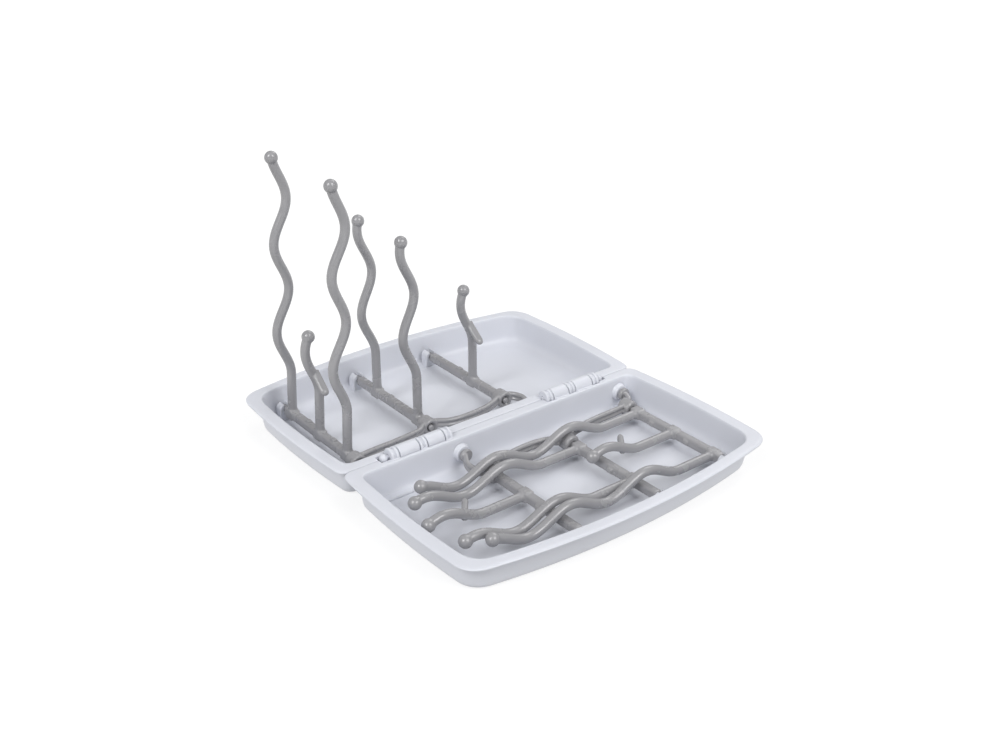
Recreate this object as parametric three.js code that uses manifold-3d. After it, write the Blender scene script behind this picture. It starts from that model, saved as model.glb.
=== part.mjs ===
// Folding travel drying rack for baby bottles: two identical shallow trays joined along one long edge,
// each holding a rack of three fold-down prong combs whose inner ends turn in the eyes of a wavy rail.
// Millimetres, +Z up, X along the hinge, Y across it. The origin is the middle of the hinge line on the
// surface that the open trays rest on. The back tray lies at +Y, the front tray is the same tray turned
// half a turn about Z. The back combs stand up and the front combs lie folded in their tray.

import * as THREE from 'three';
import { mergeVertices } from 'three/addons/utils/BufferGeometryUtils.js';
import Module from 'manifold-3d';

const wasm = await Module();
wasm.setup();

// ---- driving dimensions ----------------------------------------------------------------------------

// Tray: plan of the rim. The ends and the front edge bow outwards between the corners.
const TRAY_HALF_LENGTH = 130;      // hinge line to each end corner, along X
const TRAY_DEPTH = 140;            // hinge line to the front corners, along Y
const END_BOW = 3.5;
const FRONT_BOW = 14;
const HINGE_HALF_GAP = 0.3;        // each rim stops this far from the hinge line
const HINGE_CORNER = 7;            // length that a corner curve takes off each side
const FRONT_CORNER = 19;

// Tray: section.
const TRAY_HEIGHT = 25;            // resting plane to rim top
const RIM_THICKNESS = 2;
const FLOOR_TOP = 2.2;
const RIM_WIDTH = { hinge: 8.6, end: 10.5, front: 9.2 };
const WALL = 2.2;

// Hinge.
const KNUCKLE_RADIUS = 5.8;
const KNUCKLE_GROOVE = 0.7;
const PIN_RADIUS = 1.4;
const PIN_HOLE_RADIUS = 1.75;
const PIN_HEAD_RADIUS = 3.3;
const NOTCH_CLEARANCE = 0.5;
const BARRELS = [[49.2, 63.2], [70.2, 86.3]];            // distance from the middle of the hinge
const RINGS = [[42.6, 48.6], [63.8, 69.6], [86.9, 92.9]];
const PIN_HEAD_AT = 96.8;

// Combs. Every prong waves along X by one formula, so a folded prong passes over the next bars.
const AXLE_HEIGHT = 10.8;
const COMB_PITCH = 68.5;
const FIRST_COMB_X = -101;
const BAR_RADIUS = 3.5;
const JOURNAL_RADIUS = 2.35;
const BORE_RADIUS = 2.7;
const PRONG_RADIUS = 3.4;
const BALL_RADIUS = 4.7;
const WAVE_START = 33.75;
const WAVE_LENGTH = 66;
const WAVE_HEIGHT = 10.6;
const LONG_PRONG = 195;
const MIDDLE_PRONG = 140;
const SHORT_PRONG = 78;
const LONG_COMB_LEAN = 3;           // degrees off upright, towards the folded side, on the standing comb
const COLLAR = { length: 9, size: 7.6, chamfer: 1 };
const LEAF = { top: 50, drop: 10.5, reach: 13.6, radius: 3, thickness: 4.4 };

// Clips that hold the outer end of each bar, and the sockets that hold the rail.
const CLIP = { width: 11, length: 7, above: 4.6, mouth: 4, wallGap: 4.5 };
const SOCKET_RADIUS = 6;
const SPIGOT_RADIUS = 2.6;
const RECESS = { x: 86, width: 22, depth: 0.9, z: [13.5, 20] };
const FIT_GAP = 0.5;

// Combs of one tray: distance of the bar's inner eye and of its prongs from the hinge line.
const LONG_COMB = {
  order: 0,
  eye: [24, 34.3],
  prongs: [{ y: 39.9, length: LONG_PRONG }, { y: 77, length: SHORT_PRONG, leaf: true }, { y: 116.5, length: LONG_PRONG }],
  nubs: [58, 92.5],
};
const MIDDLE_COMB = {
  order: 1,
  eye: [35.5, 46.2],
  prongs: [{ y: 52.6, length: MIDDLE_PRONG }, { y: 107, length: MIDDLE_PRONG }],
  nubs: [88],
};
const SHORT_COMB = {
  order: 2,
  eye: [35.5, 46.2],
  prongs: [{ y: 77, length: SHORT_PRONG, leaf: true }],
  nubs: [94],
};
const COMBS = { long_comb: LONG_COMB, middle_comb: MIDDLE_COMB, short_comb: SHORT_COMB };

// Rail: an upright strip that runs beside the folded long prong, and bows out to carry an eye under each of
// that prong's arches.
const RAIL = { level: 12.2, halfHeight: 3.5, halfWidth: 2.1, eyeRadius: 6.2 };
const KNOB = { radius: 4.8, length: 3.6, height: 14, wall: 14.1 };
const LEFT_KNOB_X = -109;
const RIGHT_KNOB_X = 39.5;
const RAIL_ROUTE = [
  [-109, 16.5, 13.6], [-107, 23.5, 12.8], [-101, 28.5, RAIL.level], [-86, 30.4, RAIL.level], [-70, 30.8, RAIL.level],
  [-55, 32, RAIL.level], [-45, 33.4, RAIL.level], [-38.5, 36.8, RAIL.level], [-32.5, 38.4, RAIL.level],
  [-26.5, 36.8, RAIL.level], [-19, 32.8, RAIL.level], [-9, 30.8, RAIL.level], [4, 30.8, RAIL.level],
  [15, 32.2, RAIL.level], [24, 35.2, RAIL.level], [30, 37.6, RAIL.level], [36, 38.6, RAIL.level],
  [42, 36.8, RAIL.level], [45.5, 31.5, RAIL.level], [45, 24.5, 12.8], [40.5, 16.5, 13.6],
];

// ---- materials -------------------------------------------------------------------------------------

const WHITE = { color: 0xeef0f5, roughness: 0.32, metalness: 0 };
const GREY = { color: 0xa3a1a2, roughness: 0.38, metalness: 0 };

// ---- small tools -----------------------------------------------------------------------------------

const vec = (x, y, z) => new THREE.Vector3(x, y, z);
const combX = (comb) => FIRST_COMB_X + comb.order * COMB_PITCH;

function toSolid(geometry) {
  const bare = geometry.index ? geometry.clone() : geometry;
  bare.deleteAttribute('normal');
  bare.deleteAttribute('uv');
  const merged = mergeVertices(bare, 1e-4);
  return new wasm.Manifold(new wasm.Mesh({
    numProp: 3,
    vertProperties: new Float32Array(merged.attributes.position.array),
    triVerts: new Uint32Array(merged.index.array),
  }));
}

function toGeometry(solid) {
  const mesh = solid.getMesh();
  const geometry = new THREE.BufferGeometry();
  geometry.setAttribute('position', new THREE.BufferAttribute(new Float32Array(mesh.vertProperties), 3));
  geometry.setIndex(new THREE.BufferAttribute(new Uint32Array(mesh.triVerts), 1));
  return geometry;
}

const join = (solids) => solids.reduce((all, solid) => all.add(solid));
const cut = (body, tools) => tools.reduce((rest, tool) => rest.subtract(tool), body);

function box(x0, x1, y0, y1, z0, z1) {
  const geometry = new THREE.BoxGeometry(x1 - x0, y1 - y0, z1 - z0);
  return toSolid(geometry.translate((x0 + x1) / 2, (y0 + y1) / 2, (z0 + z1) / 2));
}

function rodX(radius, x0, x1, y, z, sides = 16) {
  const geometry = new THREE.CylinderGeometry(radius, radius, x1 - x0, sides);
  return toSolid(geometry.rotateZ(Math.PI / 2).translate((x0 + x1) / 2, y, z));
}

function rodY(radius, y0, y1, x, z, sides = 12) {
  const geometry = new THREE.CylinderGeometry(radius, radius, y1 - y0, sides);
  return toSolid(geometry.rotateY(Math.PI / sides).translate(x, (y0 + y1) / 2, z));
}

function ball(radius, x, y, z, across = 10, down = 7) {
  return toSolid(new THREE.SphereGeometry(radius, across, down).translate(x, y, z));
}

// A bar along points; width is its half width across, where that differs from its radius.
function tube(points, radius, sides, steps, width = radius) {
  const section = new THREE.Shape(Array.from({ length: sides }, (_, i) => {
    const angle = (2 * Math.PI * (i + 0.5)) / sides;
    return new THREE.Vector2(radius * Math.cos(angle), width * Math.sin(angle));
  }));
  const extrudePath = new THREE.CatmullRomCurve3(points, false, 'centripetal');
  return toSolid(new THREE.ExtrudeGeometry(section, { steps, extrudePath }));
}

// ---- tray ------------------------------------------------------------------------------------------

const frontEdge = (x) => TRAY_DEPTH + FRONT_BOW * (1 - (x / TRAY_HALF_LENGTH) ** 2);
const endEdge = (y) => TRAY_HALF_LENGTH + END_BOW * (1 - (2 * y / TRAY_DEPTH - 1) ** 2);

function cornerCurve(from, corner, to, steps) {
  return new THREE.QuadraticBezierCurve(from, corner, to).getPoints(steps).slice(0, -1);
}

// One closed plan outline, counter-clockwise, drawn in from the rim by its own inset on each side.
function outline({ hinge, end, front }, cornerSteps = 4, frontSteps = 10, endSteps = 4) {
  const p = (x, y) => new THREE.Vector2(x, y);
  const endX = (y) => endEdge(y) - end;
  const frontY = (x) => frontEdge(x) - front;
  const y0 = HINGE_HALF_GAP + hinge;
  const x0 = endX(y0);
  let x1 = endX(TRAY_DEPTH);
  for (let i = 0; i < 4; i += 1) x1 = endX(frontY(x1));
  const y1 = frontY(x1);
  const half = cornerCurve(p(x0 - HINGE_CORNER, y0), p(x0, y0), p(endX(y0 + HINGE_CORNER), y0 + HINGE_CORNER), cornerSteps);
  for (let i = 0; i < endSteps; i += 1) {
    const y = THREE.MathUtils.lerp(y0 + HINGE_CORNER, y1 - FRONT_CORNER, i / endSteps);
    half.push(p(endX(y), y));
  }
  const leave = p(x1 - FRONT_CORNER, frontY(x1 - FRONT_CORNER));
  half.push(...cornerCurve(p(endX(y1 - FRONT_CORNER), y1 - FRONT_CORNER), p(x1, y1), leave, cornerSteps));
  for (let i = 0; i < frontSteps / 2; i += 1) {
    const x = THREE.MathUtils.lerp(leave.x, 0, (2 * i) / frontSteps);
    half.push(p(x, frontY(x)));
  }
  const mirrored = half.map((q) => p(-q.x, q.y)).reverse();
  return [...half, p(0, frontY(0)), ...mirrored];
}

// A closed body through rings of equal point counts, from the middle of the first to that of the last.
function loft(levels) {
  const rings = levels.map(({ z, inset }) => outline(inset).map((q) => vec(q.x, q.y, z)));
  const count = rings[0].length;
  const middle = (ring) => ring.reduce((sum, q) => sum.add(q), vec(0, 0, 0)).divideScalar(count);
  const points = [middle(rings[0]), ...rings.flat(), middle(rings.at(-1))];
  const faces = [];
  const at = (ring, i) => 1 + ring * count + (i % count);
  for (let i = 0; i < count; i += 1) {
    faces.push(0, at(0, i + 1), at(0, i));
    for (let ring = 0; ring + 1 < rings.length; ring += 1) {
      const [a, b, c, d] = [at(ring, i), at(ring, i + 1), at(ring + 1, i + 1), at(ring + 1, i)];
      faces.push(a, b, c, a, c, d);
    }
    faces.push(points.length - 1, at(rings.length - 1, i), at(rings.length - 1, i + 1));
  }
  const geometry = new THREE.BufferGeometry().setFromPoints(points);
  geometry.setIndex(faces);
  return toSolid(geometry);
}

const sides = (hinge, end, front) => ({ hinge, end, front });
const rimInner = (more = 0) => sides(RIM_WIDTH.hinge + more, RIM_WIDTH.end + more, RIM_WIDTH.front + more);

// The shell in section: underside, sloping outer wall, rim, sloping inner wall, floor.
function trayShell() {
  const underRim = TRAY_HEIGHT - RIM_THICKNESS;
  const levels = [
    { z: 0, inset: sides(12.5, 15.5, 17) },
    { z: 0.7, inset: sides(10, 11.6, 13.4) },
    { z: 2.6, inset: sides(8.2, 9.8, 11.2) },
    { z: 6, inset: sides(7.3, 9.2, 10) },
    { z: underRim, inset: sides(RIM_WIDTH.hinge - WALL, RIM_WIDTH.end - WALL, RIM_WIDTH.front - WALL) },
    { z: underRim, inset: sides(0, 0.4, 0.4) },
    { z: underRim + 0.6, inset: sides(0, 0, 0) },
    { z: TRAY_HEIGHT - 0.6, inset: sides(0, 0, 0) },
    { z: TRAY_HEIGHT, inset: sides(0, 0.6, 0.6) },
    { z: TRAY_HEIGHT, inset: rimInner(-0.5) },
    { z: TRAY_HEIGHT - 0.7, inset: rimInner(0.2) },
    { z: 8, inset: sides(RIM_WIDTH.hinge + 1.4, RIM_WIDTH.end + 1.5, RIM_WIDTH.front + 2.4) },
    { z: 4.2, inset: sides(RIM_WIDTH.hinge + 2.3, RIM_WIDTH.end + 2.9, RIM_WIDTH.front + 3.6) },
    { z: FLOOR_TOP, inset: sides(RIM_WIDTH.hinge + 5, RIM_WIDTH.end + 6.5, RIM_WIDTH.front + 7) },
  ];
  return loft(levels);
}

const clipEnd = (comb) => frontEdge(combX(comb)) - RIM_WIDTH.front - CLIP.wallGap;

// Snap clip for the outer end of a comb's bar, open at the top by less than the journal's width.
function barClip(comb) {
  const x = combX(comb);
  const [y0, y1] = [clipEnd(comb) - CLIP.length, clipEnd(comb)];
  const block = box(x - CLIP.width / 2, x + CLIP.width / 2, y0, y1, FLOOR_TOP - 0.6, AXLE_HEIGHT + CLIP.above);
  const bore = rodY(BORE_RADIUS, y0 - 1, y1 + 1, x, AXLE_HEIGHT);
  const mouth = box(x - CLIP.mouth / 2, x + CLIP.mouth / 2, y0 - 1, y1 + 1, AXLE_HEIGHT, TRAY_HEIGHT);
  return cut(block, [bore, mouth]);
}

// Round boss on the hinge-side wall, with a blind hole for one end of the rail.
function railSocket(x) {
  const boss = rodY(SOCKET_RADIUS, 9.8, KNOB.wall - FIT_GAP, x, KNOB.height);
  return cut(boss, [rodY(SPIGOT_RADIUS + 0.4, 11, KNOB.wall + 1, x, KNOB.height)]);
}

// A knuckle joined to the rim at +Y; narrow ones have a groove round the middle.
function knuckle(x0, x1, grooved) {
  const barrel = rodX(KNUCKLE_RADIUS, x0, x1, 0, TRAY_HEIGHT);
  const web = box(x0, x1, 3, RIM_WIDTH.hinge - 1, TRAY_HEIGHT - RIM_THICKNESS, TRAY_HEIGHT);
  if (!grooved) return barrel.add(web);
  const middle = (x0 + x1) / 2;
  const sleeve = rodX(KNUCKLE_RADIUS + 1, middle - 0.7, middle + 0.7, 0, TRAY_HEIGHT);
  const core = rodX(KNUCKLE_RADIUS - KNUCKLE_GROOVE, middle - 0.8, middle + 0.8, 0, TRAY_HEIGHT);
  return barrel.subtract(sleeve.subtract(core)).add(web);
}

// Clearance in this rim for a knuckle of the other tray.
function knuckleNotch(x0, x1) {
  return rodX(KNUCKLE_RADIUS + NOTCH_CLEARANCE, x0 - NOTCH_CLEARANCE, x1 + NOTCH_CLEARANCE, 0, TRAY_HEIGHT);
}

// Shallow finger recess in the outer face of the front wall.
function fingerRecess() {
  const { x, width, depth, z } = RECESS;
  const slope = Math.atan((-2 * FRONT_BOW * x) / TRAY_HALF_LENGTH ** 2);
  const wallFace = frontEdge(x) - RIM_WIDTH.front + WALL;
  const geometry = new THREE.BoxGeometry(width, 10, z[1] - z[0]).rotateZ(slope);
  return toSolid(geometry.translate(x, wallFace - 0.6 - depth + 5, (z[0] + z[1]) / 2));
}

function trayBody() {
  const own = [
    ...BARRELS.map(([a, b]) => knuckle(-b, -a, false)),
    ...RINGS.map(([a, b]) => knuckle(a, b, true)),
  ];
  const notches = [
    ...BARRELS.map(([a, b]) => knuckleNotch(a, b)),
    ...RINGS.map(([a, b]) => knuckleNotch(-b, -a)),
    ...[-1, 1].map((s) => rodX(PIN_HEAD_RADIUS + 1, s * PIN_HEAD_AT - 4, s * PIN_HEAD_AT + 4, 0, TRAY_HEIGHT)),
  ];
  const cornerLedges = [[-109, -100], [84, 108]].map(([x0, x1]) =>
    box(x0, x1, 11, 17.5, FLOOR_TOP - 0.6, FLOOR_TOP + 1.8));
  const pinHoles = [-1, 1].map((s) =>
    rodX(PIN_HOLE_RADIUS, s > 0 ? 41.6 : -94, s > 0 ? 94 : -41.6, 0, TRAY_HEIGHT, 12));
  const clips = Object.values(COMBS).map(barClip);
  const sockets = [LEFT_KNOB_X, RIGHT_KNOB_X].map(railSocket);
  const shell = cut(trayShell(), [...notches, fingerRecess()]);
  return cut(join([shell, ...own, ...cornerLedges, ...clips, ...sockets]), pinHoles);
}

// ---- combs -----------------------------------------------------------------------------------------

// Sideways offset of a prong at a distance up from its bar: straight at first, then a wave.
function wave(s) {
  if (s < WAVE_START) return 0;
  return -(WAVE_HEIGHT / 2) * (1 - Math.cos((2 * Math.PI * (s - WAVE_START)) / WAVE_LENGTH));
}

function prong({ y, length, leaf }) {
  const stepsPerWave = 7;
  const count = Math.round(((length - WAVE_START) / WAVE_LENGTH) * stepsPerWave);
  const points = [vec(0, y, 0), vec(0, y, WAVE_START * 0.6)];
  for (let i = 0; i <= count; i += 1) {
    const s = THREE.MathUtils.lerp(WAVE_START, length, i / count);
    points.push(vec(wave(s), y, s));
  }
  const parts = [
    tube(points, PRONG_RADIUS, 8, count + 2),
    ball(BALL_RADIUS, wave(length), y, length),
  ];
  if (leaf) parts.push(fingerLeaf(y));
  return join(parts);
}

// Rounded paddle that leaves a short prong towards the hinge, sloping down.
function fingerLeaf(y) {
  const slope = Math.atan2(LEAF.drop, LEAF.reach);
  const run = Math.hypot(LEAF.drop, LEAF.reach);
  const plan = new THREE.Shape();
  plan.moveTo(0, LEAF.radius * 0.8);
  plan.lineTo(0, -LEAF.radius * 0.8);
  plan.absarc(run, 0, LEAF.radius, -Math.PI / 2, Math.PI / 2, false);
  const geometry = new THREE.ExtrudeGeometry(plan, { depth: LEAF.thickness, bevelEnabled: false, curveSegments: 6 });
  geometry.translate(0, 0, -LEAF.thickness / 2).rotateX(Math.PI / 2).rotateZ(-Math.PI / 2).rotateX(slope);
  return toSolid(geometry.translate(-3.2, y, LEAF.top));
}

function collar(y) {
  const [h, c] = [COLLAR.size / 2, COLLAR.chamfer];
  const plan = new THREE.Shape([
    [h, h - c], [h - c, h], [c - h, h], [-h, h - c], [-h, c - h], [c - h, -h], [h - c, -h], [h, c - h],
  ].map(([a, b]) => new THREE.Vector2(a, b)));
  const geometry = new THREE.ExtrudeGeometry(plan, { depth: COLLAR.length, bevelEnabled: false });
  return toSolid(geometry.rotateX(Math.PI / 2).translate(0, y + COLLAR.length / 2, 0));
}

// One moulded comb about its own bar axis, standing up: bar, journals, collars, nubs and prongs.
function combBody(comb) {
  const inner = comb.eye[1] + FIT_GAP;
  const outer = clipEnd(comb) - CLIP.length - FIT_GAP;
  const nub = (y) => box(-2, 2, y - 2.5, y + 2.5, 0, 5);
  return join([
    rodY(BAR_RADIUS, inner, outer, 0, 0),
    rodY(JOURNAL_RADIUS, comb.eye[0] - 1, clipEnd(comb) - 0.5, 0, 0, 12),
    ...comb.prongs.map(prong),
    ...comb.prongs.map(({ y }) => collar(y)),
    ...comb.nubs.map(nub),
  ]);
}

// ---- rail ------------------------------------------------------------------------------------------

function railBody() {
  const route = RAIL_ROUTE.map(([x, y, z]) => vec(x, y, z));
  const strip = tube(route, RAIL.halfHeight, 8, 44, RAIL.halfWidth);
  const eyes = Object.values(COMBS).map((comb) =>
    rodY(RAIL.eyeRadius, comb.eye[0], comb.eye[1], combX(comb), AXLE_HEIGHT));
  const bores = Object.values(COMBS).map((comb) =>
    rodY(BORE_RADIUS, comb.eye[0] - 1, comb.eye[1] + 1, combX(comb), AXLE_HEIGHT));
  const knobs = [LEFT_KNOB_X, RIGHT_KNOB_X].flatMap((x) => [
    rodY(KNOB.radius, KNOB.wall, KNOB.wall + KNOB.length, x, KNOB.height),
    rodY(SPIGOT_RADIUS, KNOB.wall - 2.5, KNOB.wall + 0.5, x, KNOB.height, 8),
  ]);
  return cut(join([strip, ...eyes, ...knobs]), bores);
}

// ---- hinge pins ------------------------------------------------------------------------------------

// A pin lies along X with its domed head outwards; side is -1 for the left pin and 1 for the right one.
function pinBody(side) {
  const [near, far] = [42, PIN_HEAD_AT];
  const shaft = rodX(PIN_RADIUS, Math.min(side * near, side * far), Math.max(side * near, side * far), 0, 0, 12);
  return shaft.add(ball(PIN_HEAD_RADIUS, side * PIN_HEAD_AT, 0, 0));
}

// ---- assembly --------------------------------------------------------------------------------------

function named(name, geometry, material) {
  const mesh = new THREE.Mesh(geometry, new THREE.MeshStandardMaterial(material));
  mesh.name = name;
  return mesh;
}

const trayGeometry = toGeometry(trayBody());
const railGeometry = toGeometry(railBody());
const combGeometry = Object.fromEntries(
  Object.entries(COMBS).map(([name, comb]) => [name, toGeometry(combBody(comb))]));

// One tray with its rail and combs; folds gives how far each comb leans over from upright, in degrees.
function trayAssembly(prefix, folds) {
  const group = new THREE.Group();
  group.add(named(`${prefix}_tray`, trayGeometry, WHITE));
  group.add(named(`${prefix}_rail`, railGeometry, GREY));
  for (const [name, comb] of Object.entries(COMBS)) {
    const mesh = named(`${prefix}_${name}`, combGeometry[name], GREY);
    mesh.position.set(combX(comb), 0, AXLE_HEIGHT);
    mesh.rotation.y = THREE.MathUtils.degToRad(folds[name]);
    group.add(mesh);
  }
  return group;
}

const rack = new THREE.Group();
const front = trayAssembly('front', { long_comb: 90, middle_comb: 90, short_comb: 90 });
front.rotation.z = Math.PI;
const back = trayAssembly('back', { long_comb: LONG_COMB_LEAN, middle_comb: 0, short_comb: 0 });
rack.add(back, front);
for (const [name, side] of [['left_hinge_pin', -1], ['right_hinge_pin', 1]]) {
  const pin = named(name, toGeometry(pinBody(side)), WHITE);
  pin.position.z = TRAY_HEIGHT;
  rack.add(pin);
}

export default rack;
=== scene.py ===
"""Folding travel drying rack for baby bottles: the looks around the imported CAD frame.

Shapes are made in millimetres about the frame's own axes and scaled to metres when a piece is placed.
Both trays, both rails and both sets of combs are the same mouldings: the front set is the back set turned
half a turn about Z, with its combs folded flat.
"""
import math

import bmesh
import bpy
from mathutils import Matrix, Vector
from mathutils.geometry import interpolate_bezier


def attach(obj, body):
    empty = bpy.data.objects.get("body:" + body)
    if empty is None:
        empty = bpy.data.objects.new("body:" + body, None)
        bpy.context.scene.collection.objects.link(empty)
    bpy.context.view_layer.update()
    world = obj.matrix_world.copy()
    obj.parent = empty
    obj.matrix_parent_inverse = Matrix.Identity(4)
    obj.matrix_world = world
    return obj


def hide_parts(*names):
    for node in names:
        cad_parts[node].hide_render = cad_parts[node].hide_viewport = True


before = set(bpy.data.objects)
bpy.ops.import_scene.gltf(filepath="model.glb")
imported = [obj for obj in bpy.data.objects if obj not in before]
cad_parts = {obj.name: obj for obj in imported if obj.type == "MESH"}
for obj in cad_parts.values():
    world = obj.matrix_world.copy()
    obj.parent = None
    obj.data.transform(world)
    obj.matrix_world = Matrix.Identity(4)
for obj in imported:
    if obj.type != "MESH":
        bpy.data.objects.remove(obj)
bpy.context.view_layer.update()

MM = 0.001

# ---- sizes, in millimetres ---------------------------------------------------------------------------

TRAY_HALF_LENGTH = 130.0
TRAY_DEPTH = 140.0
END_BOW = 3.5
FRONT_BOW = 14.0
HINGE_HALF_GAP = 0.3
HINGE_CORNER = 7.0
FRONT_CORNER = 14.0
TRAY_HEIGHT = 25.0
FLOOR_TOP = 2.2
RIM = {"hinge": 8.6, "end": 10.5, "front": 9.2}
WALL = 2.2
HINGE_WALL_FACE = 9.8
LEDGES = {"spans": ((-109, -100), (84, 108)), "near": 10.6, "far": 17.5, "height": 1.9}
RECESS = {"x": 86.0, "level": 16.7, "width": 22.0, "height": 6.8, "depth": 0.9}

KNUCKLE_RADIUS = 5.8
PIN_RADIUS = 1.4
PIN_HOLE_RADIUS = 1.75
PIN_HEAD_RADIUS = 3.3
PIN_START, PIN_HEAD_AT = 42.0, 96.8
PIN_HEAD_ROOM = 4.0
PIN_HOLES, PIN_HOLE_LENGTH = (-94.0, 41.6), 52.4
NOTCH_CLEARANCE = 0.5
BARRELS = ((49.2, 63.2), (70.2, 86.3))
RINGS = ((42.6, 48.6), (63.8, 69.6), (86.9, 92.9))

AXLE_HEIGHT = 10.8
COMB_PITCH = 68.5
FIRST_COMB_X = -101.0
BAR_HALF = 3.3
JOURNAL_RADIUS = 2.35
PRONG_RADIUS = 3.4
BALL_RADIUS = 4.7
WAVE_START, WAVE_LENGTH, WAVE_HEIGHT = 33.75, 66.0, 10.6
COLLAR_LENGTH, COLLAR_SIZE = 9.0, 7.6
LEAF_TOP, LEAF_DROP, LEAF_REACH = 50.0, 10.5, 13.6
LEAF_HALF_WIDTH, LEAF_HALF_THICKNESS = 3.0, 2.2
FIT_GAP = 0.5
CLIP = {"width": 11.0, "length": 7.0, "above": 4.6, "mouth": 4.0, "wall_gap": 4.5, "bore": 2.7}

COMBS = {
    "long_comb": {
        "order": 0, "eye": (24.0, 34.3), "nubs": (58.0, 92.5),
        "prongs": ((39.9, 195.0, False), (77.0, 78.0, True), (116.5, 195.0, False)),
    },
    "middle_comb": {
        "order": 1, "eye": (35.5, 46.2), "nubs": (88.0,),
        "prongs": ((52.6, 140.0, False), (107.0, 140.0, False)),
    },
    "short_comb": {
        "order": 2, "eye": (35.5, 46.2), "nubs": (94.0,),
        "prongs": ((77.0, 78.0, True),),
    },
}

RAIL_LEVEL = 12.2
RAIL_HALF_WIDTH, RAIL_HALF_HEIGHT, RAIL_GROOVE = 2.1, 3.3, 1.0
EYE_RADIUS, EYE_RING_RADIUS, EYE_RING_LENGTH = 6.4, 6.3, 2.4
KNOB = {"radius": 4.8, "length": 3.6, "height": 14.0, "wall": 14.1, "left": -109.0, "right": 39.5}
RAIL_ROUTE = (
    (-109, 16.5, 13.6), (-107, 23.5, 12.8), (-101, 28.5, RAIL_LEVEL), (-86, 30.4, RAIL_LEVEL),
    (-70, 30.8, RAIL_LEVEL), (-55, 32, RAIL_LEVEL), (-45, 33.4, RAIL_LEVEL), (-38.5, 37.6, RAIL_LEVEL),
    (-32.5, 40.2, RAIL_LEVEL), (-26.5, 37.6, RAIL_LEVEL), (-19, 32.8, RAIL_LEVEL), (-9, 30.8, RAIL_LEVEL),
    (4, 30.8, RAIL_LEVEL), (15, 32.2, RAIL_LEVEL), (24, 35.2, RAIL_LEVEL), (30, 38.2, RAIL_LEVEL),
    (36, 40.2, RAIL_LEVEL), (42, 37.6, RAIL_LEVEL), (45.5, 31.5, RAIL_LEVEL), (45, 24.5, 12.8),
    (40.5, 16.5, 13.6),
)

COMB_VOXEL, COMB_ROUNDS = 0.42, 5
RAIL_VOXEL, RAIL_ROUNDS = 0.36, 3


# ---- mesh tools --------------------------------------------------------------------------------------

def new_object(name, bm):
    """Links an object made from a bmesh, which is freed."""
    mesh = bpy.data.meshes.new(name)
    bm.normal_update()
    bm.to_mesh(mesh)
    bm.free()
    obj = bpy.data.objects.new(name, mesh)
    bpy.context.scene.collection.objects.link(obj)
    return obj


def discard(obj):
    """Removes an object along with its mesh."""
    mesh = obj.data
    bpy.data.objects.remove(obj)
    bpy.data.meshes.remove(mesh)


def baked(obj):
    """Replaces obj's mesh by what its modifiers make of it."""
    bpy.context.view_layer.update()
    evaluated = obj.evaluated_get(bpy.context.evaluated_depsgraph_get())
    mesh = bpy.data.meshes.new_from_object(evaluated)
    old = obj.data
    obj.modifiers.clear()
    obj.data = mesh
    bpy.data.meshes.remove(old)
    return obj


def grid_body(rings):
    """A closed bmesh through rings of equal point counts, with a flat face over each end."""
    bm = bmesh.new()
    rows = [[bm.verts.new(p) for p in ring] for ring in rings]
    count = len(rows[0])
    for low, high in zip(rows, rows[1:]):
        for i in range(count):
            j = (i + 1) % count
            bm.faces.new((low[i], low[j], high[j], high[i]))
    bm.faces.new(list(reversed(rows[0])))
    bm.faces.new(rows[-1])
    bmesh.ops.recalc_face_normals(bm, faces=bm.faces)
    return bm


def merged(bodies):
    """One bmesh holding all the given bmeshes."""
    whole = bmesh.new()
    for body in bodies:
        mesh = bpy.data.meshes.new("part")
        body.to_mesh(mesh)
        body.free()
        whole.from_mesh(mesh)
        bpy.data.meshes.remove(mesh)
    return whole


def around(axis):
    """The unit axis and two directions square to it and to each other."""
    axis = Vector(axis).normalized()
    side = axis.orthogonal().normalized()
    return axis, side, axis.cross(side)


def revolved(profile, start, axis, steps=32):
    """A lathe body: profile holds (distance along axis from start, radius)."""
    axis, side, other = around(axis)
    rings = []
    for along, radius in profile:
        centre = Vector(start) + axis * along
        turns = [2 * math.pi * i / steps for i in range(steps)]
        rings.append([centre + (side * math.cos(t) + other * math.sin(t)) * max(radius, 0.01) for t in turns])
    return grid_body(rings)


def ring_body(profile, start, axis, steps=40):
    """A lathe body that is open through the middle: its profile closes on itself."""
    axis, side, other = around(axis)
    bm = bmesh.new()
    rows = []
    for i in range(steps):
        t = 2 * math.pi * i / steps
        out = side * math.cos(t) + other * math.sin(t)
        rows.append([bm.verts.new(Vector(start) + axis * along + out * radius) for along, radius in profile])
    for i in range(steps):
        here, there = rows[i], rows[(i + 1) % steps]
        for k in range(len(profile)):
            n = (k + 1) % len(profile)
            bm.faces.new((here[k], there[k], there[n], here[n]))
    bmesh.ops.recalc_face_normals(bm, faces=bm.faces)
    return bm


def round_ended(length, radius, edge=0.6, steps=3):
    """Lathe profile of a rod whose two ends are rounded off by edge."""
    turn = [math.pi / 2 * i / steps for i in range(steps + 1)]
    start = [(edge * (1 - math.sin(t)), radius - edge * (1 - math.cos(t))) for t in reversed(turn)]
    return start + [(length - along, r) for along, r in reversed(start)]


def swept(points, section, reference):
    """A body that carries a closed section, given as (across, up) pairs, along points."""
    rings = []
    for i, point in enumerate(points):
        before, after = points[max(i - 1, 0)], points[min(i + 1, len(points) - 1)]
        tangent = (after - before).normalized()
        up = (reference - reference.dot(tangent) * tangent).normalized()
        across = tangent.cross(up)
        rings.append([point + across * a + up * b for a, b in section])
    return grid_body(rings)


def circle(radius, steps=24):
    """A round section for swept."""
    turns = [2 * math.pi * i / steps for i in range(steps)]
    return [(radius * math.cos(t), radius * math.sin(t)) for t in turns]


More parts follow.
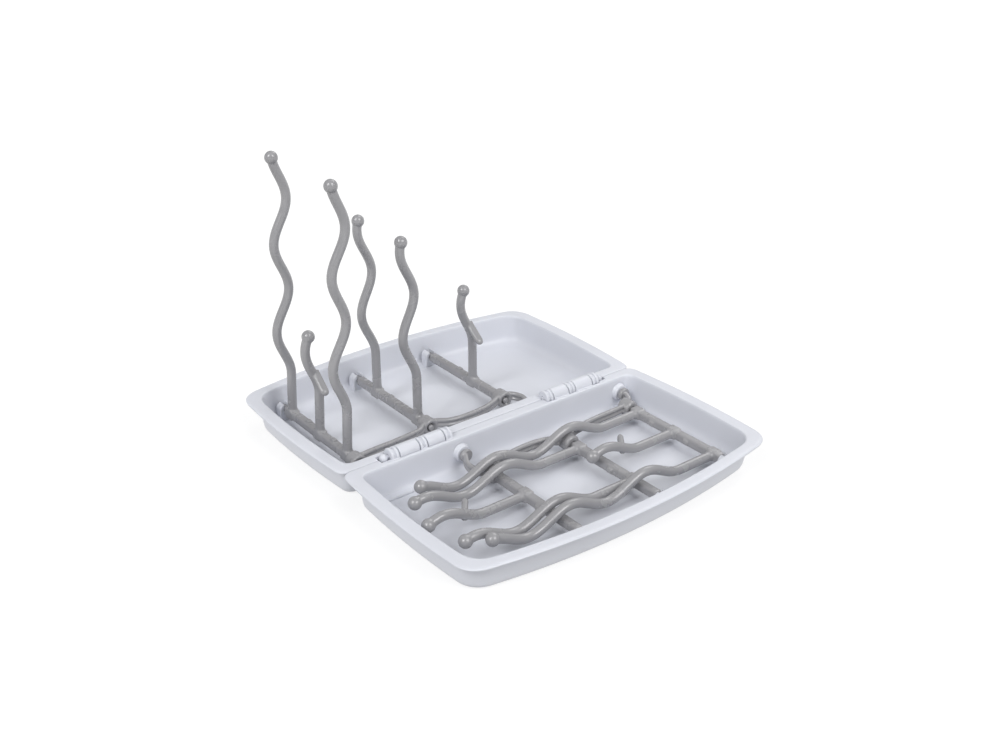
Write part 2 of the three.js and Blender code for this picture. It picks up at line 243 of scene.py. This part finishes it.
def sphere(radius, centre, steps=24):
    """A ball as a bmesh."""
    bm = bmesh.new()
    bmesh.ops.create_uvsphere(bm, u_segments=steps, v_segments=steps // 2, radius=radius)
    bmesh.ops.translate(bm, verts=bm.verts, vec=centre)
    return bm


def soft_box(low, high, edge=0.6, segments=3):
    """A box with all its edges rounded."""
    bm = bmesh.new()
    bmesh.ops.create_cube(bm, size=1)
    low, high = Vector(low), Vector(high)
    bmesh.ops.scale(bm, verts=bm.verts, vec=high - low)
    bmesh.ops.translate(bm, verts=bm.verts, vec=(low + high) / 2)
    bmesh.ops.bevel(bm, geom=bm.edges[:], offset=edge, segments=segments, affect="EDGES", profile=0.5)
    return bm


def fused(name, bodies, voxel, rounds):
    """One moulded piece from overlapping bodies, with small fillets where they meet."""
    obj = new_object(name, merged(bodies))
    remesh = obj.modifiers.new("fuse", "REMESH")
    remesh.mode = "VOXEL"
    remesh.voxel_size = voxel
    remesh.adaptivity = 0
    smooth = obj.modifiers.new("fillet", "SMOOTH")
    smooth.factor = 0.5
    smooth.iterations = rounds
    return baked(obj)


def boolean(obj, tool, operation):
    """Cuts tool from obj, or adds it, and discards the tool."""
    modifier = obj.modifiers.new(operation.lower(), "BOOLEAN")
    modifier.operation = operation
    modifier.object = tool
    modifier.solver = "MANIFOLD"
    baked(obj)
    discard(tool)


def spline(points, per_span):
    """Points along a smooth curve through the given ones."""
    knots = [Vector(p) for p in points]
    curve = []
    for i in range(len(knots) - 1):
        a, b = knots[i], knots[i + 1]
        before, after = knots[max(i - 1, 0)], knots[min(i + 2, len(knots) - 1)]
        handle_a = a + (b - before) / 6
        handle_b = b - (after - a) / 6
        curve += list(interpolate_bezier(a, handle_a, handle_b, b, per_span + 1))[:-1]
    return curve + [knots[-1]]


# ---- tray --------------------------------------------------------------------------------------------

def front_edge(x):
    """Y of the tray's bowed front rim at x."""
    return TRAY_DEPTH + FRONT_BOW * (1 - (x / TRAY_HALF_LENGTH) ** 2)


def end_edge(y):
    """X of the tray's bowed end rim at y."""
    return TRAY_HALF_LENGTH + END_BOW * (1 - (2 * y / TRAY_DEPTH - 1) ** 2)


def corner_curve(start, corner, end, steps):
    """Points from start up to, but without, end, along a curve that the corner pulls outward."""
    points = []
    for i in range(steps):
        t = i / steps
        points.append(start * (1 - t) ** 2 + corner * (2 * t * (1 - t)) + end * t ** 2)
    return points


def outline(z, hinge, end, front, corner_steps=14, front_steps=36, end_steps=14, hinge_steps=12):
    """The tray's plan at height z, counter-clockwise, drawn in from the rim by an inset on each side."""
    def end_x(y):
        return end_edge(y) - end

    def front_y(x):
        return front_edge(x) - front

    y0 = HINGE_HALF_GAP + hinge
    x0 = end_x(y0)
    x1 = end_x(TRAY_DEPTH)
    for _ in range(4):
        x1 = end_x(front_y(x1))
    y1 = front_y(x1)
    y_turn = y0 + HINGE_CORNER
    half = [Vector(((x0 - HINGE_CORNER) * i / hinge_steps, y0)) for i in range(hinge_steps)]
    turned = Vector((end_x(y_turn), y_turn))
    half += corner_curve(Vector((x0 - HINGE_CORNER, y0)), Vector((x0, y0)), turned, corner_steps)
    for i in range(end_steps):
        y = y_turn + (y1 - FRONT_CORNER - y_turn) * i / end_steps
        half.append(Vector((end_x(y), y)))
    leave = Vector((x1 - FRONT_CORNER, front_y(x1 - FRONT_CORNER)))
    arrive = Vector((end_x(y1 - FRONT_CORNER), y1 - FRONT_CORNER))
    half += corner_curve(arrive, Vector((x1, y1)), leave, corner_steps)
    for i in range(front_steps // 2):
        x = leave.x * (1 - 2 * i / front_steps)
        half.append(Vector((x, front_y(x))))
    mirrored = [Vector((-p.x, p.y)) for p in reversed(half[1:])]
    plan = half + [Vector((0, front_y(0)))] + mirrored
    return [Vector((p.x, p.y, z)) for p in plan]


def eased(rows, steps=5):
    """Rows of (z, hinge, end, front) with each marked corner turned into an arc of small steps.

    A row holds its four numbers and the share of its two neighbouring spans that its curve takes up."""
    eased_rows = []
    for i, (row, ease) in enumerate(rows):
        if ease == 0 or i in (0, len(rows) - 1):
            eased_rows.append(row)
            continue
        before, after = rows[i - 1][0], rows[i + 1][0]
        start = [a + (b - a) * ease for a, b in zip(row, before)]
        end = [a + (b - a) * ease for a, b in zip(row, after)]
        for k in range(steps + 1):
            t = k / steps
            mix = [s * (1 - t) ** 2 + c * 2 * t * (1 - t) + e * t * t for s, c, e in zip(start, row, end)]
            eased_rows.append(tuple(mix))
    return eased_rows


def tray_shell():
    """The tray's shell in section: underside, outer wall, rim, inner wall and floor."""
    under_rim = TRAY_HEIGHT - 2.0
    h, e, f = RIM["hinge"], RIM["end"], RIM["front"]
    rows = [
        ((0.0, 15.0, 19.0, 21.0), 0),
        ((0.0, 10.2, 12.4, 14.2), 0.45),
        ((3.0, 8.1, 9.7, 11.0), 0.45),
        ((6.0, 7.3, 9.2, 10.0), 0.3),
        ((under_rim - 0.6, h - WALL, e - WALL, f - WALL), 0),
        ((under_rim, h - WALL - 0.5, e - WALL - 0.5, f - WALL - 0.5), 0.3),
        ((under_rim, 0.0, 0.3, 0.3), 0.12),
        ((TRAY_HEIGHT - 0.9, 0.0, 0.0, 0.0), 0.4),
        ((TRAY_HEIGHT - 0.05, 0.1, 1.5, 1.4), 0.4),
        ((TRAY_HEIGHT, h * 0.5, e * 0.5, f * 0.5), 0),
        ((TRAY_HEIGHT, h - 0.4, e - 0.4, f - 0.4), 0.25),
        ((TRAY_HEIGHT - 2.0, h + 0.3, e + 0.3, f + 0.4), 0.3),
        ((9.0, h + 1.3, e + 1.4, f + 2.3), 0.2),
        ((4.0, h + 2.2, e + 2.8, f + 3.6), 0.6),
        ((FLOOR_TOP, h + 6.5, e + 8.5, f + 9.0), 0.6),
        ((FLOOR_TOP, h + 12.0, e + 14.0, f + 15.0), 0),
    ]
    return new_object("shell", grid_body([outline(*row) for row in eased(rows)]))


def clip_end(comb):
    """Y of the clip's outer face, a little short of the front wall."""
    return front_edge(comb_x(comb)) - RIM["front"] - CLIP["wall_gap"]


def comb_x(comb):
    """X of the comb's bar in the back tray."""
    return FIRST_COMB_X + comb["order"] * COMB_PITCH


def axle_bore(x, start, length):
    """The tool that cuts a bar's bearing, along Y at the axle's height."""
    profile = [(0, CLIP["bore"]), (length, CLIP["bore"])]
    return new_object("bore", revolved(profile, (x, start, AXLE_HEIGHT), (0, 1, 0)))


def clip_body(comb):
    """Snap clip for a bar's outer end: a rounded block, open at the top."""
    x, end = comb_x(comb), clip_end(comb)
    half = CLIP["width"] / 2
    top = AXLE_HEIGHT + CLIP["above"]
    arch = [(-half, FLOOR_TOP - 0.6), (half, FLOOR_TOP - 0.6)]
    turns = [math.pi * i / 16 for i in range(17)]
    arch += [(half * math.cos(t), top - half * 0.8 + half * 0.8 * math.sin(t)) for t in turns]
    rings = [[Vector((x + a, y, b)) for a, b in arch] for y in (end - CLIP["length"], end)]
    obj = new_object("clip", grid_body(rings))
    bevel = obj.modifiers.new("edges", "BEVEL")
    bevel.width = 0.6
    bevel.segments = 3
    bevel.limit_method = "ANGLE"
    bevel.angle_limit = math.radians(50)
    baked(obj)
    boolean(obj, axle_bore(x, end - CLIP["length"] - 1, CLIP["length"] + 2), "DIFFERENCE")
    mouth = CLIP["mouth"] / 2
    slot = new_object("mouth", soft_box(
        (x - mouth, end - CLIP["length"] - 2, AXLE_HEIGHT), (x + mouth, end + 2, top + 4), 0.5))
    boolean(obj, slot, "DIFFERENCE")
    return obj


def grooved_profile(length, radius, grooved):
    """Knuckle profile; narrow knuckles are a pair of rings with a groove between them."""
    if not grooved:
        return round_ended(length, radius, 0.9, 4)
    half = (length - 1.4) / 2
    ring = round_ended(half, radius, 0.7, 3)
    core = radius - 1.0
    return ring + [(half, core), (half + 1.4, core)] + [(along + half + 1.4, r) for along, r in ring]


def knuckle(low, high, grooved):
    """One hinge knuckle about the hinge line, from low to high along X."""
    profile = grooved_profile(high - low, KNUCKLE_RADIUS, grooved)
    return revolved(profile, (low, 0, TRAY_HEIGHT), (1, 0, 0), 40)


def knuckle_web(low, high):
    """The block that joins a knuckle to the tray's rim."""
    near = (low + 0.4, 3.4, TRAY_HEIGHT - 2.3)
    far = (high - 0.4, RIM["hinge"] - 1.2, TRAY_HEIGHT + 0.5)
    return soft_box(near, far, 0.4)


def rod_x(low, high, radius, steps=40):
    """A plain rod along the hinge line."""
    return revolved([(0, radius), (high - low, radius)], (low, 0, TRAY_HEIGHT), (1, 0, 0), steps)


def finger_recess():
    """Shallow finger recess in the outer face of the front wall."""
    x, half_width, half_height = RECESS["x"], RECESS["width"] / 2, RECESS["height"] / 2
    slope = math.atan(-2 * FRONT_BOW * x / TRAY_HALF_LENGTH ** 2)
    face = front_edge(x) - RIM["front"] + WALL - 0.6 - RECESS["depth"]
    body = soft_box((-half_width, 0, -half_height), (half_width, 10, half_height), 1.2, 4)
    place = Matrix.Translation((x, face, RECESS["level"])) @ Matrix.Rotation(slope, 4, "Z")
    bmesh.ops.transform(body, matrix=place, verts=body.verts)
    return body


def rail_socket(x):
    """Round boss on the hinge-side wall that one end of the rail plugs into."""
    length = KNOB["wall"] - FIT_GAP - HINGE_WALL_FACE
    profile = [(0, 6.8), (1.0, 6.3), (2.0, 6.05), (length - 0.9, 5.95), (length - 0.3, 5.7), (length, 5.1)]
    profile += [(length, 3.0), (1.4, 3.0)]
    return revolved(profile, (x, HINGE_WALL_FACE, KNOB["height"]), (0, 1, 0), 36)


def tray_mesh():
    """The whole white moulding: shell, knuckles, ledges, clips and sockets."""
    own = [(-b, -a, False) for a, b in BARRELS] + [(a, b, True) for a, b in RINGS]
    others = list(BARRELS) + [(-b, -a) for a, b in RINGS]
    reach = KNUCKLE_RADIUS + NOTCH_CLEARANCE
    notches = [rod_x(a - NOTCH_CLEARANCE, b + NOTCH_CLEARANCE, reach) for a, b in others]
    heads = [
        rod_x(side * PIN_HEAD_AT - PIN_HEAD_ROOM, side * PIN_HEAD_AT + PIN_HEAD_ROOM, PIN_HEAD_RADIUS + 1)
        for side in (-1, 1)
    ]
    tray = tray_shell()
    for tool in notches + heads + [finger_recess()]:
        boolean(tray, new_object("cut", tool), "DIFFERENCE")
    additions = [knuckle_web(a, b) for a, b, _ in own] + [knuckle(*k) for k in own]
    near, far, top = LEDGES["near"], LEDGES["far"], FLOOR_TOP + LEDGES["height"]
    additions += [soft_box((a, near, FLOOR_TOP - 1), (b, far, top), 1.3, 5) for a, b in LEDGES["spans"]]
    for addition in additions:
        boolean(tray, new_object("add", addition), "UNION")
    for comb in COMBS.values():
        boolean(tray, clip_body(comb), "UNION")
    for x in (KNOB["left"], KNOB["right"]):
        boolean(tray, new_object("socket", rail_socket(x)), "UNION")
    for low in PIN_HOLES:
        hole = rod_x(low, low + PIN_HOLE_LENGTH, PIN_HOLE_RADIUS, 24)
        boolean(tray, new_object("hole", hole), "DIFFERENCE")
    return tray


# ---- combs -------------------------------------------------------------------------------------------

def wave(s):
    """Sideways offset of a prong at distance s up from its bar."""
    if s < WAVE_START:
        return 0.0
    return -WAVE_HEIGHT / 2 * (1 - math.cos(2 * math.pi * (s - WAVE_START) / WAVE_LENGTH))


def prong_bodies(y, length, leaf):
    """A wavy prong with a ball at its top and a foot on the bar; leaf adds the paddle."""
    step = 2.0
    count = math.ceil(length / step)
    path = [Vector((wave(length * i / count), y, length * i / count)) for i in range(count + 1)]
    foot = [
        (0, PRONG_RADIUS + 0.5), (4.0, PRONG_RADIUS + 0.5),
        (4.8, PRONG_RADIUS + 0.1), (5.6, PRONG_RADIUS - 0.1),
    ]
    bodies = [
        swept(path, circle(PRONG_RADIUS), Vector((0, 1, 0))),
        sphere(BALL_RADIUS, Vector((wave(length), y, length))),
        revolved(foot, (0, y, 0), (0, 0, 1)),
    ]
    if leaf:
        bodies += leaf_bodies(y)
    return bodies


def leaf_bodies(y):
    """Flat rounded paddle that leaves a short prong towards the hinge, sloping down."""
    down = Vector((0, -LEAF_REACH, -LEAF_DROP)).normalized()
    start = Vector((-3.2, y + 0.5, LEAF_TOP + 0.5))
    run = math.hypot(LEAF_DROP, LEAF_REACH)
    normal = down.cross(Vector((1, 0, 0)))
    section = []
    for i in range(24):
        t = 2 * math.pi * i / 24
        across = LEAF_HALF_WIDTH * math.copysign(abs(math.cos(t)) ** 0.6, math.cos(t))
        up = LEAF_HALF_THICKNESS * math.copysign(abs(math.sin(t)) ** 0.8, math.sin(t))
        section.append((across, up))
    path = [start + down * (run * i / 10) for i in range(11)]
    blade = swept(path, section, normal)
    tip = sphere(1.0, Vector((0, 0, 0)))
    spin = Matrix((Vector((1, 0, 0)), down, normal)).transposed().to_4x4()
    size = Matrix.Diagonal((LEAF_HALF_WIDTH, LEAF_HALF_WIDTH, LEAF_HALF_THICKNESS, 1))
    place = Matrix.Translation(start + down * run) @ spin @ size
    bmesh.ops.transform(tip, matrix=place, verts=tip.verts)
    return [blade, tip]


def comb_mesh(name, comb):
    """One comb about its own bar axis, standing up."""
    inner = comb["eye"][1] + FIT_GAP
    outer = clip_end(comb) - CLIP["length"] - FIT_GAP
    dome_start = comb["eye"][0] - 1.0
    tip = clip_end(comb) - 0.5
    dome = [(0.0, 0.4), (0.25, 1.4), (0.7, 2.1), (1.4, JOURNAL_RADIUS)]
    journal = dome + [(tip - dome_start - 0.8, JOURNAL_RADIUS), (tip - dome_start, JOURNAL_RADIUS - 0.8)]
    half = COLLAR_SIZE / 2
    bodies = [
        soft_box((-BAR_HALF, inner, -BAR_HALF), (BAR_HALF, outer, BAR_HALF), 1.7, 5),
        revolved(journal, (0, dome_start, 0), (0, 1, 0)),
    ]
    for y, length, leaf in comb["prongs"]:
        bodies += prong_bodies(y, length, leaf)
        low, high = (-half, y - COLLAR_LENGTH / 2, -half), (half, y + COLLAR_LENGTH / 2, half)
        bodies.append(soft_box(low, high, 1.0, 4))
    for y in comb["nubs"]:
        bodies.append(soft_box((-2, y - 2.5, 0), (2, y + 2.5, 5), 1.0, 3))
    return fused(name, bodies, COMB_VOXEL, COMB_ROUNDS)


# ---- rail --------------------------------------------------------------------------------------------

def rail_section():
    """Upright strip with rounded edges and a groove along each side."""
    section = []
    for i in range(48):
        t = 2 * math.pi * i / 48
        up = RAIL_HALF_HEIGHT * math.sin(t)
        side = math.copysign(RAIL_HALF_WIDTH * abs(math.cos(t)) ** 0.5, math.cos(t))
        groove = RAIL_GROOVE * math.exp(-(up / 1.15) ** 4)
        section.append((side - math.copysign(groove, side), up))
    return section


def rail_mesh(name):
    """The wavy rail with its three eyes and the two knobs that plug into the sockets."""
    bodies = [swept(spline(RAIL_ROUTE, 8), rail_section(), Vector((0, 0, 1)))]
    for comb in COMBS.values():
        low, high = comb["eye"]
        x, length = comb_x(comb), high - low
        bore, ring, front = CLIP["bore"], EYE_RING_RADIUS, EYE_RING_LENGTH
        lip = [(1.3, bore), (1.3, bore + 0.7), (0.3, bore + 1.3), (0.0, bore + 1.8), (0.0, ring - 1.0)]
        lip += [(0.3, ring - 0.3), (0.9, ring), (front, ring), (front + 0.3, EYE_RADIUS)]
        lip += [(length - 1.2, EYE_RADIUS), (length, EYE_RADIUS - 1.0), (length, bore)]
        bodies.append(ring_body(lip, (x, low, AXLE_HEIGHT), (0, 1, 0)))
    for x in (KNOB["left"], KNOB["right"]):
        start = (x, KNOB["wall"], KNOB["height"])
        bodies.append(revolved(round_ended(KNOB["length"], KNOB["radius"], 1.1, 4), start, (0, 1, 0)))
        spigot = (x, KNOB["wall"] - 2.5, KNOB["height"])
        bodies.append(revolved([(0, 2.4), (3.5, 2.4)], spigot, (0, 1, 0), 24))
    rail = fused(name, bodies, RAIL_VOXEL, RAIL_ROUNDS)
    for comb in COMBS.values():
        low, high = comb["eye"]
        boolean(rail, axle_bore(comb_x(comb), low - 1, high - low + 2), "DIFFERENCE")
    return rail


# ---- hinge pins --------------------------------------------------------------------------------------

def pin_mesh(name, side):
    """A pin along X with a domed head at its outer end; side is -1 for the left pin and 1 for the right."""
    head = PIN_HEAD_AT - PIN_START
    shaft = [(0, PIN_RADIUS - 0.4), (0.4, PIN_RADIUS), (head - 2.6, PIN_RADIUS)]
    turns = [math.pi * i / 14 for i in range(15)]
    dome = [(head - PIN_HEAD_RADIUS * 0.8 * math.cos(t), PIN_HEAD_RADIUS * math.sin(t)) for t in turns]
    dome = [p for p in dome if p[0] > head - 2.4]
    return new_object(name, revolved(shaft + dome, (side * PIN_START, 0, TRAY_HEIGHT), (side, 0, 0), 32))


# ---- materials ---------------------------------------------------------------------------------------

def moulded_plastic(name, colour, roughness, grain, translucency, gloss):
    """Moulded plastic: slight colour drift, fine spark-eroded grain, faint flow marks and softened edges."""
    material = bpy.data.materials.new(name)
    material.use_nodes = True
    nodes, links = material.node_tree.nodes, material.node_tree.links
    shader = nodes["Principled BSDF"]
    place = nodes.new("ShaderNodeTexCoord").outputs["Object"]

    def noise(scale, detail, harshness=0.5):
        node = nodes.new("ShaderNodeTexNoise")
        node.inputs["Scale"].default_value = scale
        node.inputs["Detail"].default_value = detail
        node.inputs["Roughness"].default_value = harshness
        links.new(place, node.inputs["Vector"])
        return node.outputs["Fac"]

    def spread(value, low, high):
        node = nodes.new("ShaderNodeMapRange")
        node.inputs["From Min"].default_value = 0.3
        node.inputs["From Max"].default_value = 0.7
        node.inputs["To Min"].default_value = low
        node.inputs["To Max"].default_value = high
        links.new(value, node.inputs["Value"])
        return node.outputs["Result"]

    drift = nodes.new("ShaderNodeMix")
    drift.data_type = "RGBA"
    drift.inputs["A"].default_value = (*[c * 0.965 for c in colour], 1)
    drift.inputs["B"].default_value = (*[min(c * 1.02, 1.0) for c in colour], 1)
    links.new(spread(noise(14, 3), 0.0, 1.0), drift.inputs["Factor"])
    links.new(drift.outputs["Result"], shader.inputs["Base Color"])
    links.new(spread(noise(55, 5, 0.6), roughness - 0.05, roughness + 0.06), shader.inputs["Roughness"])
    shader.inputs["IOR"].default_value = 1.49
    shader.inputs["Specular IOR Level"].default_value = gloss
    shader.inputs["Subsurface Weight"].default_value = translucency
    shader.inputs["Subsurface Radius"].default_value = (1.0, 1.0, 1.0)
    shader.inputs["Subsurface Scale"].default_value = 0.0012

    edges = nodes.new("ShaderNodeBevel")
    edges.samples = 4
    edges.inputs["Radius"].default_value = 0.00045
    flow = nodes.new("ShaderNodeBump")
    flow.inputs["Strength"].default_value = 0.25
    flow.inputs["Distance"].default_value = 0.00012
    links.new(noise(22, 2), flow.inputs["Height"])
    links.new(edges.outputs["Normal"], flow.inputs["Normal"])
    texture = nodes.new("ShaderNodeBump")
    texture.inputs["Strength"].default_value = grain
    texture.inputs["Distance"].default_value = 0.00003
    links.new(noise(3200, 2), texture.inputs["Height"])
    links.new(flow.outputs["Normal"], texture.inputs["Normal"])
    links.new(texture.outputs["Normal"], shader.inputs["Normal"])
    return material


WHITE = moulded_plastic(
    "white_moulding", (0.65, 0.665, 0.72), roughness=0.34, grain=0.06, translucency=0.06, gloss=0.5)
GREY = moulded_plastic(
    "grey_moulding", (0.295, 0.293, 0.305), roughness=0.25, grain=0.04, translucency=0.0, gloss=0.9)


# ---- placing -----------------------------------------------------------------------------------------

def shade(obj, material, sharp_angle=None):
    """Smooth shading in one material, kept crisp where faces meet at more than sharp_angle degrees."""
    for polygon in obj.data.polygons:
        polygon.use_smooth = True
    if sharp_angle is not None:
        obj.data.set_sharp_from_angle(angle=math.radians(sharp_angle))
    obj.data.materials.clear()
    obj.data.materials.append(material)
    return obj


def placed(master, name, node, body, turn):
    """A copy of a master mesh, in metres, standing for a CAD node and riding on its body."""
    mesh = master.data.copy()
    mesh.transform(Matrix.Scale(MM, 4) @ turn)
    obj = bpy.data.objects.new(name, mesh)
    bpy.context.scene.collection.objects.link(obj)
    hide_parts(node)
    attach(obj, body)
    return obj


def weigh_normals(obj):
    """Keeps the wide flat faces flat in the shading."""
    modifier = obj.modifiers.new("flat faces", "WEIGHTED_NORMAL")
    modifier.keep_sharp = True


HALF_TURN = Matrix.Rotation(math.pi, 4, "Z")
LONG_COMB_LEAN = 3.0
FOLDS = {
    "back": {"long_comb": LONG_COMB_LEAN, "middle_comb": 0.0, "short_comb": 0.0},
    "front": {"long_comb": 90.0, "middle_comb": 90.0, "short_comb": 90.0},
}


def build_rack():
    """Makes each moulding once and places its copies in the two halves."""
    tray = shade(tray_mesh(), WHITE, 38)
    rail = shade(rail_mesh("rail"), GREY)
    combs = {name: shade(comb_mesh(name, comb), GREY) for name, comb in COMBS.items()}
    for half, turn in (("back", Matrix.Identity(4)), ("front", HALF_TURN)):
        body = half + "_half"
        weigh_normals(placed(tray, half + "_tray_moulding", half + "_tray", body, turn))
        placed(rail, half + "_rail_moulding", half + "_rail", body, turn)
        for name, comb in COMBS.items():
            stand = Matrix.Translation((comb_x(comb), 0, AXLE_HEIGHT))
            lean = Matrix.Rotation(math.radians(FOLDS[half][name]), 4, "Y")
            node = f"{half}_{name}"
            placed(combs[name], node + "_moulding", node, node, turn @ stand @ lean)
    for side, hand in ((-1, "left"), (1, "right")):
        pin = shade(pin_mesh("pin", side), WHITE, 50)
        node = hand + "_hinge_pin"
        placed(pin, node + "_moulding", node, "back_half", Matrix.Identity(4))
        discard(pin)
    for master in [tray, rail, *combs.values()]:
        discard(master)


# ---- studio ------------------------------------------------------------------------------------------

CAMERA_AIM = Vector((0.0416, 0.04975, 0.025))
CAMERA_DISTANCE = 0.9577
CAMERA_AZIMUTH, CAMERA_ELEVATION = -38.0, 26.8
CAMERA_LENS = 45.36

FLOOR_HALF_SIZE, FLOOR_DROP = 20, 0.0002
FLOOR_TONE, FLOOR_GLOW = 0.3, 0.74
HORIZON_BAND = (0.05, 0.2)
SKY_STRENGTH = 0.44
SUNS = {
    "key": {"azimuth": -80, "elevation": 42, "softness": 26, "strength": 1.45},
    "fill": {"azimuth": 12, "elevation": 42, "softness": 34, "strength": 1.35},
    "back": {"azimuth": 115, "elevation": 42, "softness": 30, "strength": 0.5},
}


def aim(obj, at):
    """Turns a camera or light to look at a point."""
    obj.rotation_mode = "QUATERNION"
    obj.rotation_quaternion = (Vector(at) - obj.location).to_track_quat("-Z", "Y")


def direction(azimuth, elevation):
    """The way from the object to a viewer at these angles, in degrees; azimuth 0 looks along +Y."""
    a, e = math.radians(azimuth), math.radians(elevation)
    return Vector((math.sin(a) * math.cos(e), -math.cos(a) * math.cos(e), math.sin(e)))


def build_camera():
    """The photograph's viewpoint."""
    camera = bpy.data.objects.new("camera", bpy.data.cameras.new("camera"))
    bpy.context.scene.collection.objects.link(camera)
    camera.location = CAMERA_AIM + direction(CAMERA_AZIMUTH, CAMERA_ELEVATION) * CAMERA_DISTANCE
    aim(camera, CAMERA_AIM)
    camera.data.sensor_width = 36.0
    camera.data.lens = CAMERA_LENS
    bpy.context.scene.camera = camera


def soft_sun(name, azimuth, elevation, softness, strength):
    """An even, wide light from one side; softness is the angle that it fills, in degrees."""
    data = bpy.data.lights.new(name, "SUN")
    data.angle = math.radians(softness)
    data.energy = strength
    light = bpy.data.objects.new(name, data)
    bpy.context.scene.collection.objects.link(light)
    light.location = direction(azimuth, elevation)
    aim(light, (0, 0, 0))


def build_floor():
    """A white floor under the rack; diffuse rays miss it, so it does not light the trays' outer walls."""
    bm = bmesh.new()
    bmesh.ops.create_grid(bm, x_segments=1, y_segments=1, size=FLOOR_HALF_SIZE)
    floor = new_object("floor", bm)
    floor.location.z = -FLOOR_DROP
    material = bpy.data.materials.new("pale_floor")
    material.use_nodes = True
    shader = material.node_tree.nodes["Principled BSDF"]
    shader.inputs["Base Color"].default_value = (FLOOR_TONE, FLOOR_TONE, FLOOR_TONE, 1)
    shader.inputs["Roughness"].default_value = 0.85
    shader.inputs["Emission Color"].default_value = (1.0, 1.0, 1.0, 1)
    shader.inputs["Emission Strength"].default_value = FLOOR_GLOW
    shader.inputs["Specular IOR Level"].default_value = 0.1
    floor.data.materials.append(material)
    floor.visible_diffuse = False


def build_studio():
    """A sky that is white at the horizon and grey overhead, the floor, and three wide lights."""
    scene = bpy.context.scene
    scene.view_settings.view_transform = "Standard"
    world = bpy.data.worlds.new("soft_white")
    world.use_nodes = True
    nodes, links = world.node_tree.nodes, world.node_tree.links
    background = nodes["Background"]
    background.inputs["Color"].default_value = (1.0, 1.0, 1.0, 1)
    heading = nodes.new("ShaderNodeSeparateXYZ")
    links.new(nodes.new("ShaderNodeTexCoord").outputs["Generated"], heading.inputs["Vector"])
    sweep = nodes.new("ShaderNodeMapRange")
    sweep.interpolation_type = "SMOOTHSTEP"
    sweep.inputs["From Min"].default_value = HORIZON_BAND[0]
    sweep.inputs["From Max"].default_value = HORIZON_BAND[1]
    sweep.inputs["To Min"].default_value = 1.0
    sweep.inputs["To Max"].default_value = SKY_STRENGTH
    height = nodes.new("ShaderNodeMath")
    height.operation = "ABSOLUTE"
    links.new(heading.outputs["Z"], height.inputs[0])
    links.new(height.outputs["Value"], sweep.inputs["Value"])
    links.new(sweep.outputs["Result"], background.inputs["Strength"])
    scene.world = world
    build_floor()
    for name, light in SUNS.items():
        soft_sun(name, **light)


build_camera()
build_studio()
build_rack()
